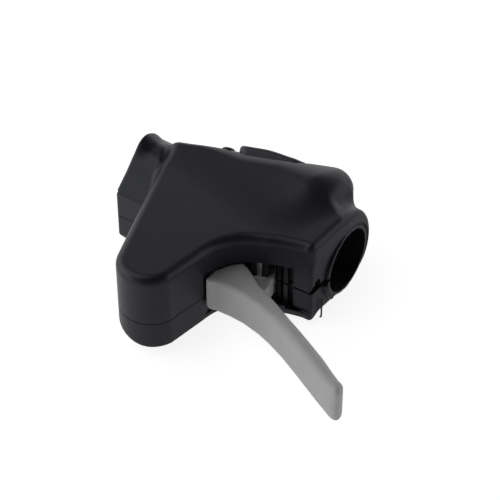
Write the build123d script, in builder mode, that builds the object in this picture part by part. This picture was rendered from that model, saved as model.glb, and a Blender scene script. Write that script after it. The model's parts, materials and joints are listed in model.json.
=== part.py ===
from build123d import *
import os
from math import cos, radians, sin

# Throttle housing with a finger lever, clamped on a handlebar. Millimetres.
# The handlebar's axis is X: +X runs outboard to the grip, +Y to the rider, +Z up.
# The housing splits at Z = 0, and its outboard end face is at X = 0.

# ---- driving dimensions ----
BAR_R = 11.1            # 22.2 mm handlebar
BAR_CLEAR = 0.5         # room round the bar wherever it isn't clamped
COLLAR_R = 14.0         # socket that takes the grip's inner flange
COLLAR_DEPTH = 9.0
COLLAR_WALL = 3.0
WALL = 2.5              # moulded wall
SPLIT = 0.15            # half of the gap between the housing halves
FLAT_TOP = 24.5
LOBE_FLOOR = -13.2
BAR_FLOOR = -16.5
INBOARD_END = -94.3
NECK_X = -8.0           # the neck's plain profile runs from here to X = 0
BLOCK_REACH = 17.0      # the inboard block runs this far into the body
HUMP_REACH = 9.4        # and the low hump on it ends at the body's wall
HUMP_SECTION = [(-15.0, 22.0), (-10.6, 27.2), (-6.0, 27.8), (-1.5, 25.0), (-1.5, 22.0)]

LOBE = (-53.5, -62.0)   # centre of the housing's rounded nose
LOBE_R = 13.2
LEFT_CORNER = (-86.8, 3.0)
REAR_INBOARD = (-87.8, 16.5)
REAR_SHOULDER = (-21.0, 27.6)

CREASE_START = Vector(-72.3, -6.2, FLAT_TOP)
CREASE_END = Vector(-5.8, -24.5, FLAT_TOP)
RISE_ANGLE = 12.8       # the roof behind the crease climbs to the ridge
RIDGE_START = Vector(-84.0, 0.0, 25.0)
RIDGE_END = Vector(-21.5, 12.7, 31.6)
DECK_TILT = 50.0        # the rear deck falls from the ridge at this angle

PIVOT = (-24.5, -27.5)
PIN_R = 3.0
HUB_R = 6.4
LEVER_LOW, LEVER_HIGH = -7.0, 10.0
SLAB_TOP = 3.0
BUSH_R = 4.2
BOSS_R = 4.4
POCKET_FLOOR, POCKET_ROOF = -10.6, 11.0
POCKET_WALL = 3.2
CLAMP_FACE = -25.0      # front wall of the clamp block
WASHER = 0.4
RUNNING = 0.03          # radial clearance of the pivot

SCREW_R = 1.5           # M3 screws join the halves
SCREW_HEAD_R = 2.8
SCREW_HEAD_H = 2.2
SCREW_SEAT = -8.0
INSERT_R = 2.3
INSERT_LENGTH = 6.0
INSERT_WALL = 1.6
SCREW_HEX_R = 1.3
FRONT_SCREWS = [(-53.5, -62.0), (-74.5, -22.5), (-8.5, -19.6)]     # their bosses reach the roof
REAR_SCREWS = [(-74.0, 14.2), (-24.5, 22.0)]
SCREW_SPOTS = FRONT_SCREWS + REAR_SCREWS

CLAMP_X = (-37.5, -12.8)
CLAMP_ARC_R = 15.0
CLAMP_GAP = 0.5
EAR_HALF_WIDTH = 18.2
EAR_HEIGHT = 8.0
EAR_LENGTH = 7.0
CLAMP_SPOTS = [(x, y) for x in (-34.0, -16.3) for y in (-14.9, 14.9)]
CLAMP_SCREW_R = 2.0     # M4 socket screws, driven from below
CLAMP_HEAD_R = 3.3
CLAMP_HEAD_H = 4.0
CLAMP_HEX_R = 1.7

SPRING_WELL_R = 6.3     # round well under the hub, with the spring's post in it
SPRING_POST_R = 3.9
SPRING_R = 4.95
SPRING_WIRE_R = 0.55
WELL_FLOOR = -14.0
PIN_LOW, PIN_HIGH = -13.0, 14.5
BLADE_FLANGE = 2.5
BUSH_LENGTH = 4.0
MAGNET_SPOT = (-33.0, -42.5)
MAGNET_R, MAGNET_LENGTH = 2.5, 5.0
SPRING_PEG = (-27.5, -33.5)
SPRING_PEG_R, SPRING_PEG_LENGTH = 1.2, 2.4
CLAMP_DRIVER_R = 3.7

ROCKER_SIZE = (30.0, 10.0)
ROCKER_RISE = 3.6
ROCKER_CROWN = 2.0      # fillet round the rocker's top
ROCKER_X = -44.0        # where the rocker stands along the ridge
MODE_R = 2.8
DECK_DOWN = 8.5         # from the ridge down the deck to the buttons' centres
ROCKER_GAP = 0.3
BEZEL_SIZE = (32.4, 12.2)
AXLE_R, AXLE_DEPTH = 0.8, 1.3
POST_REACH = 8.0        # from the rocker's axle to each of its switches
MODE_SPOT = (-19.0, -3.0)       # the mode button, from the rocker's centre along the ridge and downhill
MODE_SWITCH = (-19.0, -2.5)
MODE_RISE = 2.2
MODE_FLANGE = 0.6
BOARD_ALONG = (-27.4, 20.5)     # the switch board's ends along the ridge
BOARD_DOWN = (-6.5, 3.2)        # and its edges up and down the deck
BOARD_SCREWS = [(-25.2, -1.6), (18.3, -1.6)]
MEMBRANE_ALONG = (-22.9, 15.9)
BOARD_SCREW_R = 0.9
MEMBRANE_DEPTH, TACT_DEPTH, BOARD_DEPTH = 4.1, 5.1, 7.6
MEMBRANE_THICKNESS, BOARD_THICKNESS = 0.9, 1.6
TACT_SIZE, TACT_HEIGHT, PLUNGER_R = 6.0, 1.8, 1.6
BOARD_SCREW_GRIP = 3.6

SENSOR_LOW = (-50.0, -52.0, LOBE_FLOOR + WALL)
SENSOR_SIZE = (8.6, 13.0, 17.6)
SENSOR_WALL = 1.5
SENSOR_COVER = 1.4
COVER_SCREW_R, COVER_HEAD_R = 0.8, 1.6
COVER_SCREW_GRIP = 5.0

CONNECTOR_CENTER = (-19.5, 0.5)     # Y and Z of the harness connector in the inboard wall
CONNECTOR_SIZE = (10.0, 9.0)
CONNECTOR_LENGTH = 12.0
CONNECTOR_INSET = 0.4   # its mouth lies this far inside the wall's face
CONTACT_R, CONTACT_PITCH = 0.5, 2.8
SEAL_WIDTH = 0.8
SENSOR_LEAD_R, PANEL_LEAD_R = 1.5, 1.3

CLIP_SPOT = (-0.7, -18.6)
CLIP_WIRE = (0.6, 0.4)
CLIP_LENGTH, CLIP_HOOK = 9.2, 1.2
CLIP_SLIT = (1.6, 0.7)
NOTCH_SPOT = (-1.5, -21.5)      # notch in the end face where the halves meet
NOTCH_SIZE = (5.0, 4.2)
NOTCH_HEIGHT = 4.4
BUMPER_SPOT = (-37.3, -44.5)
BUMPER_SIZE = (1.3, 5.0)
BUMPER_LOW, BUMPER_HEIGHT = -4.0, 10.0
RIBS_LOW, RIBS_HIGH = -12.0, POCKET_ROOF
SLOTS_X = [(-17.9, -19.4), (-16.4, -15.0), (-13.1, -10.4)]
SLOT_DEPTH = 2.2


def ridge_point(x):
    """The point of the ridge line over that X."""
    share = (x - RIDGE_START.X) / (RIDGE_END.X - RIDGE_START.X)
    return RIDGE_START + (RIDGE_END - RIDGE_START) * share


def rise_plane(inset):
    """The climbing roof, moved into the housing by inset."""
    along = (CREASE_END - CREASE_START).normalized()
    uphill = Vector(-along.Y, along.X, 0) * cos(radians(RISE_ANGLE))
    uphill = uphill + Vector(0, 0, sin(radians(RISE_ANGLE)))
    normal = along.cross(uphill)
    return Plane(origin=CREASE_START - normal * inset, x_dir=along, z_dir=normal)


def deck_plane(x, inset=0.0):
    """The rear deck at the buttons' height over that X, facing the rider; its y runs downhill."""
    along = (RIDGE_END - RIDGE_START).normalized()
    fall = Vector(0, cos(radians(DECK_TILT)), -sin(radians(DECK_TILT)))
    normal = along.cross(fall).normalized()
    downhill = normal.cross(along)
    spot = ridge_point(x) + downhill * DECK_DOWN - normal * inset
    return Plane(origin=spot, x_dir=along, z_dir=normal)


def shoulder_plane(inset):
    """The roof's fall from the shoulder to the outboard neck."""
    normal = Vector(0.68, 0, 0.73).normalized()
    return Plane(origin=Vector(-15.0, 0, 31.5) - normal * inset, z_dir=normal)


def belly_plane(inset):
    """The slanted underside below the rear wall."""
    along = (Vector(*REAR_SHOULDER) - Vector(*REAR_INBOARD)).normalized()
    outward = Vector(-along.Y, along.X, 0)
    normal = (outward + Vector(0, 0, -1)).normalized()
    return Plane(origin=Vector(*REAR_SHOULDER, -9.0) - normal * inset, x_dir=along, z_dir=normal)


# ---- plan outlines ----
with BuildSketch() as housing_plan:
    with BuildLine():
        nose_right = (LOBE[0] + LOBE_R * cos(radians(-13.5)), LOBE[1] + LOBE_R * sin(radians(-13.5)))
        nose_left = (LOBE[0] + LOBE_R * cos(radians(196.8)), LOBE[1] + LOBE_R * sin(radians(196.8)))
        nose_tip = (LOBE[0] - 2.0, LOBE[1] - LOBE_R + 0.16)
        Polyline((NECK_X, -26.0), (-13.0, -27.0), (-21.2, -29.9))
        ThreePointArc((-21.2, -29.9), (-31.6, -37.2), (-37.5, -49.4))
        Line((-37.5, -49.4), nose_right)
        ThreePointArc(nose_right, nose_tip, nose_left)
        Polyline(
            nose_left, LEFT_CORNER, REAR_INBOARD, REAR_SHOULDER,
            (-14.5, 25.5), (NECK_X, 16.9), (NECK_X, -26.0),
        )
    make_face()

with BuildSketch() as pocket_plan:
    with Locations(PIVOT):
        Circle(HUB_R + 0.6)
    with BuildLine():
        Polyline(
            (-37.4, -90), (-37.4, -42), (-33.6, -33), (-31.5, PIVOT[1]), (-17.6, PIVOT[1]),
            (-18.6, CLAMP_FACE), (1, CLAMP_FACE), (1, -90), close=True,
        )
    make_face()

with BuildSketch() as deep_plan:
    add(housing_plan.sketch)
    with BuildLine():
        Polyline((-100, -27.5), (-38, -27.5), (-38, -36), (0, -36), (0, -100), (-100, -100), close=True)
    make_face(mode=Mode.SUBTRACT)


def inset_face(sketch, inset):
    """The sketch drawn again, smaller by inset all round."""
    with BuildSketch() as smaller:
        add(sketch.sketch)
        if inset:
            offset(amount=-inset)
    return smaller.sketch


def block_profile(inset, upper):
    """Section of the inboard block across the handlebar, drawn on the YZ plane."""
    front, rear = -28.3 + inset, 16.6 - inset
    with BuildSketch(Plane.YZ.offset(INBOARD_END + inset)) as section:
        with BuildLine():
            if upper:
                Polyline(
                    (front, 0), (front, 12.9 - inset / 2), (-20.5, 18.7 - inset / 2), (-14.0, 24.3 - inset),
                    (-2.0, 24.3 - inset), (5, 20.6 - inset), (12, 14 - inset), (rear, 7), (rear, 0),
                    close=True,
                )
            else:
                Polyline((front, 0), (front, -10.7), (-24.4 + inset, BAR_FLOOR + inset),
                         (4, BAR_FLOOR + inset), (rear, -6), (rear, 0), close=True)
        make_face()
    return section.sketch


def neck_profile(upper):
    """Section of the outboard neck across the handlebar, drawn on the YZ plane."""
    collar = COLLAR_R + COLLAR_WALL
    with BuildSketch(Plane.YZ.offset(NECK_X)) as section:
        with BuildLine():
            if upper:
                Polyline(
                    (collar, 0), (CLAMP_FACE, 0), (CLAMP_FACE, 22.3), (-22.8, FLAT_TOP), (2.5, FLAT_TOP),
                )
                ThreePointArc((2.5, FLAT_TOP), (13.3, 12.4), (collar, 0))
            else:
                Polyline((collar, 0), (CLAMP_FACE, 0), (CLAMP_FACE, -16), (-6, -16))
                belly = (collar * cos(radians(-50)), collar * sin(radians(-50)))
                ThreePointArc((-6, -16), belly, (collar, 0))
        make_face()
    return section.sketch


# ---- upper housing ----
def upper_envelope(inset):
    """The upper half's solid outer form, drawn smaller by inset."""
    face = inset_face(housing_plan, inset)
    with BuildPart() as climbing:
        with BuildSketch():
            add(face)
        extrude(amount=40)
        split(bisect_by=rise_plane(inset), keep=Keep.BOTTOM)
        split(bisect_by=shoulder_plane(inset), keep=Keep.BOTTOM)
    with BuildPart() as form:
        with BuildSketch():
            add(face)
        extrude(amount=FLAT_TOP - inset)
        add(climbing.part)
        split(bisect_by=deck_plane(ROCKER_X, inset), keep=Keep.BOTTOM)
        block = block_profile(inset, upper=True)
        extrude(block, amount=BLOCK_REACH)
        if inset == 0:
            with BuildSketch(Plane.YZ.offset(INBOARD_END)):
                with BuildLine():
                    Polyline(*HUMP_SECTION, close=True)
                make_face()
            extrude(amount=HUMP_REACH)
    return form.part


# what both halves leave open: the connector's window, the rest bumper's seat and the front wall's slots
with BuildPart() as shared_openings:
    with BuildSketch(Plane.YZ.offset(INBOARD_END - 1)):
        with Locations(CONNECTOR_CENTER):
            RectangleRounded(CONNECTOR_SIZE[0] + 2 * SEAL_WIDTH, CONNECTOR_SIZE[1] + 2 * SEAL_WIDTH, 1.5)
    extrude(amount=WALL + 2)
    with BuildSketch(Plane.XY.offset(BUMPER_LOW)):
        with Locations(BUMPER_SPOT):
            Rectangle(*BUMPER_SIZE)
    extrude(amount=BUMPER_HEIGHT)
    with BuildSketch(Plane.XY.offset(RIBS_LOW)):
        for x_low, x_high in SLOTS_X:
            with Locations(((x_low + x_high) / 2, CLAMP_FACE)):
                Rectangle(abs(x_high - x_low), 2 * SLOT_DEPTH)
    extrude(amount=RIBS_HIGH - RIBS_LOW)

with BuildPart() as upper_cavity:
    add(upper_envelope(WALL))
    with BuildSketch():
        add(pocket_plan.sketch)
        offset(amount=POCKET_WALL)
    extrude(amount=POCKET_ROOF + WALL, mode=Mode.SUBTRACT)
    with Locations(PIVOT):
        Cylinder(BOSS_R, 40, mode=Mode.SUBTRACT)

with BuildPart() as upper_bosses:
    with BuildSketch():
        with Locations(*SCREW_SPOTS):
            Circle(INSERT_R + INSERT_WALL)
    extrude(amount=INSERT_LENGTH + 2.0)
    with BuildSketch():
        with Locations(*FRONT_SCREWS):
            Circle(INSERT_R + INSERT_WALL)
    extrude(amount=FLAT_TOP)
    add(upper_envelope(0), mode=Mode.INTERSECT)

with BuildPart() as upper_shell:
    add(upper_envelope(0))
    neck = neck_profile(upper=True)
    extrude(neck, amount=-NECK_X)
    add(upper_cavity.part, mode=Mode.SUBTRACT)
    with BuildSketch():
        add(pocket_plan.sketch)
    extrude(amount=POCKET_ROOF, mode=Mode.SUBTRACT)
    # bosses for the screws' inserts, and the boss over the pivot
    add(upper_bosses.part)
    with BuildSketch(Plane.XY.offset(SLAB_TOP + WASHER)):
        with Locations(PIVOT):
            Circle(BOSS_R)
    extrude(amount=POCKET_ROOF - SLAB_TOP - WASHER + 1.0)
    with BuildSketch():
        with Locations(*SCREW_SPOTS):
            Circle(INSERT_R)
    extrude(amount=INSERT_LENGTH + SPLIT, mode=Mode.SUBTRACT)
    with BuildSketch():
        with Locations(PIVOT):
            Circle(PIN_R)
    extrude(amount=PIN_HIGH, mode=Mode.SUBTRACT)
    # handlebar passage, grip collar and room for the clamp
    with BuildSketch(Plane.YZ.offset(INBOARD_END - 1)):
        Circle(BAR_R + BAR_CLEAR)
    extrude(amount=-INBOARD_END + 2, mode=Mode.SUBTRACT)
    with BuildSketch(Plane.YZ.offset(-COLLAR_DEPTH)):
        Circle(COLLAR_R)
    extrude(amount=COLLAR_DEPTH + 1, mode=Mode.SUBTRACT)
    add(shared_openings.part, mode=Mode.SUBTRACT)
    with BuildSketch():
        with Locations(NOTCH_SPOT):
            Rectangle(*NOTCH_SIZE)
    extrude(amount=NOTCH_HEIGHT, mode=Mode.SUBTRACT)
    # deck openings, and posts for the switch board
    with BuildSketch(deck_plane(ROCKER_X)):
        SlotOverall(*BEZEL_SIZE)
        with Locations(MODE_SPOT):
            Circle(MODE_R + 0.2)
    extrude(amount=-WALL - 1.5, mode=Mode.SUBTRACT)
    with BuildSketch(deck_plane(ROCKER_X, BOARD_DEPTH)):
        with Locations(*BOARD_SCREWS):
            Circle(BOARD_SCREW_R + 1.0)
            Circle(BOARD_SCREW_R, mode=Mode.SUBTRACT)
    extrude(amount=BOARD_DEPTH - WALL)
    split(bisect_by=Plane.XY.offset(SPLIT), keep=Keep.TOP)


# ---- lower housing ----
def lower_envelope(inset):
    """The lower half's solid outer form, drawn smaller by inset."""
    with BuildPart() as form:
        with BuildSketch():
            add(inset_face(housing_plan, inset))
        extrude(amount=LOBE_FLOOR + inset)
        with BuildSketch():
            add(inset_face(deep_plan, inset))
        extrude(amount=BAR_FLOOR + inset)
        split(bisect_by=belly_plane(inset), keep=Keep.BOTTOM)
        block = block_profile(inset, upper=False)
        extrude(block, amount=BLOCK_REACH)
    return form.part


with BuildPart() as lower_cavity:
    add(lower_envelope(WALL))
    with BuildSketch():
        add(pocket_plan.sketch)
        offset(amount=POCKET_WALL)
    extrude(amount=-40, mode=Mode.SUBTRACT)
    with Locations(PIVOT):
        Cylinder(SPRING_WELL_R + WALL, 80, mode=Mode.SUBTRACT)

with BuildPart() as lower_bosses:
    with BuildSketch():
        with Locations(*SCREW_SPOTS):
            Circle(SCREW_HEAD_R + 1.2)
    extrude(amount=BAR_FLOOR)
    add(lower_envelope(0), mode=Mode.INTERSECT)

with BuildPart() as lower_shell:
    add(lower_envelope(0))
    neck = neck_profile(upper=False)
    extrude(neck, amount=-NECK_X)
    add(lower_cavity.part, mode=Mode.SUBTRACT)
    with BuildSketch():
        add(pocket_plan.sketch)
    extrude(amount=POCKET_FLOOR, mode=Mode.SUBTRACT)
    # posts for the screws, and the well and post under the pivot
    add(lower_bosses.part)
    with BuildSketch(Plane.XY.offset(POCKET_FLOOR)):
        with Locations(PIVOT):
            Circle(SPRING_WELL_R)
            Circle(SPRING_POST_R, mode=Mode.SUBTRACT)
    extrude(amount=WELL_FLOOR - POCKET_FLOOR, mode=Mode.SUBTRACT)
    with BuildSketch(Plane.XY.offset(WELL_FLOOR)):
        with Locations(PIVOT):
            Circle(SPRING_POST_R)
    extrude(amount=LEVER_LOW - WASHER - WELL_FLOOR)
    with BuildSketch(Plane.XY.offset(PIN_LOW)):
        with Locations(PIVOT):
            Circle(PIN_R)
    extrude(amount=-PIN_LOW, mode=Mode.SUBTRACT)
    with BuildSketch(Plane.XY.offset(BAR_FLOOR - 1)):
        with Locations(*SCREW_SPOTS):
            Circle(SCREW_HEAD_R + 0.2)
    extrude(amount=SCREW_SEAT - BAR_FLOOR + 1, mode=Mode.SUBTRACT)
    with BuildSketch(Plane.XY.offset(BAR_FLOOR - 1)):
        with Locations(*SCREW_SPOTS):
            Circle(SCREW_R + 0.15)
        with Locations(*CLAMP_SPOTS):
            Circle(CLAMP_DRIVER_R)
    extrude(amount=-BAR_FLOOR + 1, mode=Mode.SUBTRACT)
    # handlebar passage and grip collar
    with BuildSketch(Plane.YZ.offset(INBOARD_END - 1)):
        Circle(BAR_R + BAR_CLEAR)
    extrude(amount=-INBOARD_END + 2, mode=Mode.SUBTRACT)
    with BuildSketch(Plane.YZ.offset(-COLLAR_DEPTH)):
        Circle(COLLAR_R)
    extrude(amount=COLLAR_DEPTH + 1, mode=Mode.SUBTRACT)
    add(shared_openings.part, mode=Mode.SUBTRACT)
    with BuildSketch(Plane.XY.offset(BAR_FLOOR - 1)):
        with Locations(CLIP_SPOT):
            Rectangle(*CLIP_SLIT)
    extrude(amount=CLIP_LENGTH + 1.5, mode=Mode.SUBTRACT)
    split(bisect_by=Plane.XY.offset(-SPLIT), keep=Keep.BOTTOM)

# ---- lever and its pivot ----
with BuildPart() as lever:
    # full-height blade with its inner end
    with BuildSketch(Plane.XY.offset(LEVER_LOW)):
        with BuildLine():
            Line((-36.6, -47.8), (-22.0, -47.8))
            ThreePointArc((-22.0, -47.8), (-8.0, -51.1), (5.0, -56.6))
            Line((5.0, -56.6), (35.4, -72.2))
            ThreePointArc((35.4, -72.2), (38.2, -69.4), (35.6, -66.2))
            Line((35.6, -66.2), (-2.0, -48.3))
            ThreePointArc((-2.0, -48.3), (-14.0, -42.6), (-24.3, -35.3))
            Polyline((-24.3, -35.3), (-29.3, -32.6), (-33.2, -35.6), (-36.6, -42.5), (-36.6, -47.8))
        make_face()
    extrude(amount=LEVER_HIGH - LEVER_LOW)
    # low slab with the hub round the pivot
    with BuildSketch(Plane.XY.offset(LEVER_LOW)):
        with Locations(PIVOT):
            Circle(HUB_R)
        with BuildLine():
            Polyline((-18.2, -27.5), (-17.2, -31.5), (-17.2, -42), (-30.9, -40), (-30.9, -27.5), close=True)
        make_face()
    extrude(amount=SLAB_TOP - LEVER_LOW)
    # channel along the blade's rear
    with BuildSketch(Plane.XY.offset(LEVER_LOW + BLADE_FLANGE)):
        with BuildLine():
            Polyline((-2, -51), (8, -55.6), (31.5, -67.7), (31.5, -60), (-2, -40), close=True)
        make_face()
    extrude(amount=LEVER_HIGH - LEVER_LOW - 2 * BLADE_FLANGE, mode=Mode.SUBTRACT)
    with BuildSketch(Plane.XY.offset(LEVER_LOW)):
        with Locations(PIVOT):
            Circle(BUSH_R)
    extrude(amount=SLAB_TOP - LEVER_LOW, mode=Mode.SUBTRACT)
    with BuildSketch(Plane.XY.offset(LEVER_LOW)):
        with Locations(MAGNET_SPOT):
            Circle(MAGNET_R)
    extrude(amount=MAGNET_LENGTH, mode=Mode.SUBTRACT)
    with BuildSketch(Plane.XY.offset(LEVER_LOW)):
        with Locations(SPRING_PEG):
            Circle(SPRING_PEG_R)
    extrude(amount=-SPRING_PEG_LENGTH)
    tall_edges = lever.edges().filter_by(Axis.Z).group_by(Axis.X)[-1]
    fillet(tall_edges, radius=0.8)

with BuildPart() as lever_bushings:
    for low in (LEVER_LOW, SLAB_TOP - BUSH_LENGTH):
        with BuildSketch(Plane.XY.offset(low)):
            with Locations(PIVOT):
                Circle(BUSH_R)
                Circle(PIN_R + RUNNING, mode=Mode.SUBTRACT)
        extrude(amount=BUSH_LENGTH)

with BuildPart() as thrust_washers:
    for low in (LEVER_LOW - WASHER, SLAB_TOP):
        with BuildSketch(Plane.XY.offset(low + 0.02)):
            with Locations(PIVOT):
                Circle(SPRING_POST_R)
                Circle(PIN_R + RUNNING, mode=Mode.SUBTRACT)
        extrude(amount=WASHER - 0.04)

with BuildPart() as pivot_pin:
    with BuildSketch(Plane.XY.offset(PIN_LOW)):
        with Locations(PIVOT):
            Circle(PIN_R)
    extrude(amount=PIN_HIGH - PIN_LOW)
    chamfer(pivot_pin.edges().filter_by(GeomType.CIRCLE), length=0.5)

with BuildPart() as return_spring:
    with BuildLine() as coil_path:
        Helix(pitch=1.35, height=4.05, radius=SPRING_R, center=(*PIVOT, WELL_FLOOR + 0.9))
    with BuildSketch(Plane(origin=coil_path.line @ 0, z_dir=coil_path.line % 0)):
        Circle(SPRING_WIRE_R)
    sweep(is_frenet=True)

with BuildPart() as sensor_magnet:
    with BuildSketch(Plane.XY.offset(LEVER_LOW)):
        with Locations(MAGNET_SPOT):
            Circle(MAGNET_R)
    extrude(amount=MAGNET_LENGTH)

with BuildPart() as lever_bumper:
    with BuildSketch(Plane.XY.offset(BUMPER_LOW)):
        with Locations(BUMPER_SPOT):
            Rectangle(*BUMPER_SIZE)
    extrude(amount=BUMPER_HEIGHT)
    fillet(lever_bumper.edges().filter_by(Axis.Z).group_by(Axis.X)[-1], radius=0.5)

# ---- position sensor beside the lever's inner end ----
sensor_x, sensor_y, sensor_z = SENSOR_LOW
sensor_mid = (sensor_x + SENSOR_SIZE[0] / 2, sensor_y + SENSOR_SIZE[1] / 2)
sensor_top = sensor_z + SENSOR_SIZE[2]
cover_spots = [(sensor_mid[0] - 2.9, sensor_mid[1] - 5.1), (sensor_mid[0] - 2.9, sensor_mid[1] + 5.1)]
board_x = sensor_x + SENSOR_SIZE[0] - SENSOR_WALL - 2.0

with BuildPart() as sensor_housing:
    with BuildSketch(Plane.XY.offset(sensor_z)):
        with Locations(sensor_mid):
            RectangleRounded(SENSOR_SIZE[0], SENSOR_SIZE[1], 1.0)
    extrude(amount=SENSOR_SIZE[2])
    with BuildSketch(Plane.XY.offset(sensor_z + SENSOR_WALL)):
        with Locations(sensor_mid):
            Rectangle(SENSOR_SIZE[0] - 2 * SENSOR_WALL, SENSOR_SIZE[1] - 2 * SENSOR_WALL)
        with Locations(*cover_spots):
            Circle(COVER_HEAD_R, mode=Mode.SUBTRACT)
    extrude(amount=SENSOR_SIZE[2], mode=Mode.SUBTRACT)
    with BuildSketch(Plane.XY.offset(sensor_top - COVER_SCREW_GRIP - 1)):
        with Locations(*cover_spots):
            Circle(COVER_SCREW_R)
    extrude(amount=COVER_SCREW_GRIP + 1, mode=Mode.SUBTRACT)

with BuildPart() as sensor_cover:
    with BuildSketch(Plane.XY.offset(sensor_top)):
        with Locations(sensor_mid):
            RectangleRounded(SENSOR_SIZE[0], SENSOR_SIZE[1], 1.0)
        with Locations(*cover_spots):
            Circle(COVER_SCREW_R + 0.1, mode=Mode.SUBTRACT)
    extrude(amount=SENSOR_COVER)

with BuildPart() as sensor_screws:
    for x, y in cover_spots:
        with BuildSketch(Plane.XY.offset(sensor_top - COVER_SCREW_GRIP)):
            with Locations((x, y)):
                Circle(COVER_SCREW_R)
        extrude(amount=COVER_SCREW_GRIP + SENSOR_COVER)
        with BuildSketch(Plane.XY.offset(sensor_top + SENSOR_COVER)):
            with Locations((x, y)):
                Circle(COVER_HEAD_R)
                RegularPolygon(0.7, 6, mode=Mode.SUBTRACT)
        extrude(amount=1.1)

with BuildPart() as sensor_board:
    with BuildSketch(Plane.XY.offset(sensor_z + SENSOR_WALL)):
        with Locations((board_x + 0.5, sensor_mid[1])):
            Rectangle(1.0, SENSOR_SIZE[1] - 2 * SENSOR_WALL)
    extrude(amount=SENSOR_SIZE[2] - SENSOR_WALL - 1.0)

with BuildPart() as hall_sensors:
    with BuildSketch(Plane.XY.offset(-4.5)):
        with Locations((board_x + 1.45, sensor_mid[1] - 2.6), (board_x + 1.45, sensor_mid[1] + 2.6)):
            Rectangle(0.9, 3.0)
    extrude(amount=4.0)

# ---- handlebar clamp ----
def clamp_half(side):
    """One half of the clamp: side is 1 above the bar and -1 below it."""
    low, high = CLAMP_X
    arc_r = CLAMP_ARC_R if side > 0 else CLAMP_ARC_R - 1.4
    with BuildPart() as half:
        with BuildSketch(Plane.YZ.offset(low)):
            Circle(arc_r)
        extrude(amount=high - low)
        ear_middle = side * (CLAMP_GAP + EAR_HEIGHT) / 2
        with Locations(((low + high) / 2, 0, ear_middle)):
            Box(high - low, 2 * CLAMP_ARC_R, abs(2 * ear_middle))
        with Locations((low + EAR_LENGTH / 2, 0, ear_middle), (high - EAR_LENGTH / 2, 0, ear_middle)):
            Box(EAR_LENGTH, 2 * EAR_HALF_WIDTH, abs(2 * ear_middle))
        fillet(half.edges().filter_by(Axis.Z).group_by(Axis.Y)[0], radius=1.0)
        fillet(half.edges().filter_by(Axis.Z).group_by(Axis.Y)[-1], radius=1.0)
        with BuildSketch(Plane.YZ.offset(low)):
            Circle(BAR_R)
        extrude(amount=high - low, mode=Mode.SUBTRACT)
        with Locations(*[(x, y, 0) for x, y in CLAMP_SPOTS]):
            Cylinder(CLAMP_SCREW_R if side > 0 else CLAMP_SCREW_R + 0.2, 60, mode=Mode.SUBTRACT)
        cut = Plane.XY.offset(side * CLAMP_GAP)
        split(bisect_by=cut, keep=Keep.TOP if side > 0 else Keep.BOTTOM)
    return half.part


with BuildPart() as clamp_saddle:
    add(clamp_half(1))

with BuildPart() as clamp_cap:
    add(clamp_half(-1))

cap_seat = -(CLAMP_GAP + EAR_HEIGHT)
with BuildPart() as clamp_screws:
    for x, y in CLAMP_SPOTS:
        with BuildSketch(Plane.XY.offset(cap_seat)):
            with Locations((x, y)):
                Circle(CLAMP_SCREW_R)
        extrude(amount=-cap_seat + EAR_HEIGHT - 1.0)
        with BuildSketch(Plane.XY.offset(cap_seat)):
            with Locations((x, y)):
                Circle(CLAMP_HEAD_R)
        extrude(amount=-CLAMP_HEAD_H)
        with BuildSketch(Plane.XY.offset(cap_seat - CLAMP_HEAD_H)):
            with Locations((x, y)):
                RegularPolygon(CLAMP_HEX_R, 6)
        extrude(amount=2.0, mode=Mode.SUBTRACT)

# ---- buttons on the rear deck ----
with BuildPart() as switch_bezel:
    with BuildSketch(deck_plane(ROCKER_X)):
        SlotOverall(*BEZEL_SIZE)
        SlotOverall(ROCKER_SIZE[0] + 2 * ROCKER_GAP, ROCKER_SIZE[1] + 2 * ROCKER_GAP, mode=Mode.SUBTRACT)
    extrude(amount=-WALL)
    with Locations(deck_plane(ROCKER_X, AXLE_DEPTH)):
        Cylinder(AXLE_R, BEZEL_SIZE[1] - 1.6, rotation=(90, 0, 0), mode=Mode.SUBTRACT)

with BuildPart() as rocker_button:
    with BuildSketch(deck_plane(ROCKER_X, AXLE_DEPTH + 1.0)):
        SlotOverall(*ROCKER_SIZE)
    extrude(amount=AXLE_DEPTH + 1.0 + ROCKER_RISE)
    top_face = rocker_button.faces().filter_by(deck_plane(ROCKER_X)).sort_by(Axis.Z)[-1]
    fillet(top_face.edges(), radius=ROCKER_CROWN)
    with BuildSketch(deck_plane(ROCKER_X, AXLE_DEPTH + 1.0)):
        with Locations((-POST_REACH, 0), (POST_REACH, 0)):
            Circle(1.0)
    extrude(amount=-0.9)
    with Locations(deck_plane(ROCKER_X, AXLE_DEPTH)):
        Cylinder(AXLE_R + RUNNING, BEZEL_SIZE[1], rotation=(90, 0, 0), mode=Mode.SUBTRACT)

with BuildPart() as rocker_axle:
    with Locations(deck_plane(ROCKER_X, AXLE_DEPTH)):
        Cylinder(AXLE_R, BEZEL_SIZE[1] - 1.6, rotation=(90, 0, 0))

with BuildPart() as mode_button:
    with BuildSketch(deck_plane(ROCKER_X, WALL + 0.1)):
        with Locations(MODE_SPOT):
            Circle(MODE_R)
    extrude(amount=WALL + 0.1 + MODE_RISE)
    with BuildSketch(deck_plane(ROCKER_X, WALL + 0.7)):
        with Locations(MODE_SPOT):
            Circle(MODE_R + 0.7)
    extrude(amount=MODE_FLANGE)

with BuildPart() as keypad_membrane:
    with BuildSketch(deck_plane(ROCKER_X, MEMBRANE_DEPTH + MEMBRANE_THICKNESS)):
        with Locations((sum(MEMBRANE_ALONG) / 2, sum(BOARD_DOWN) / 2)):
            Rectangle(MEMBRANE_ALONG[1] - MEMBRANE_ALONG[0], BOARD_DOWN[1] - BOARD_DOWN[0])
    extrude(amount=MEMBRANE_THICKNESS)

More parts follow.
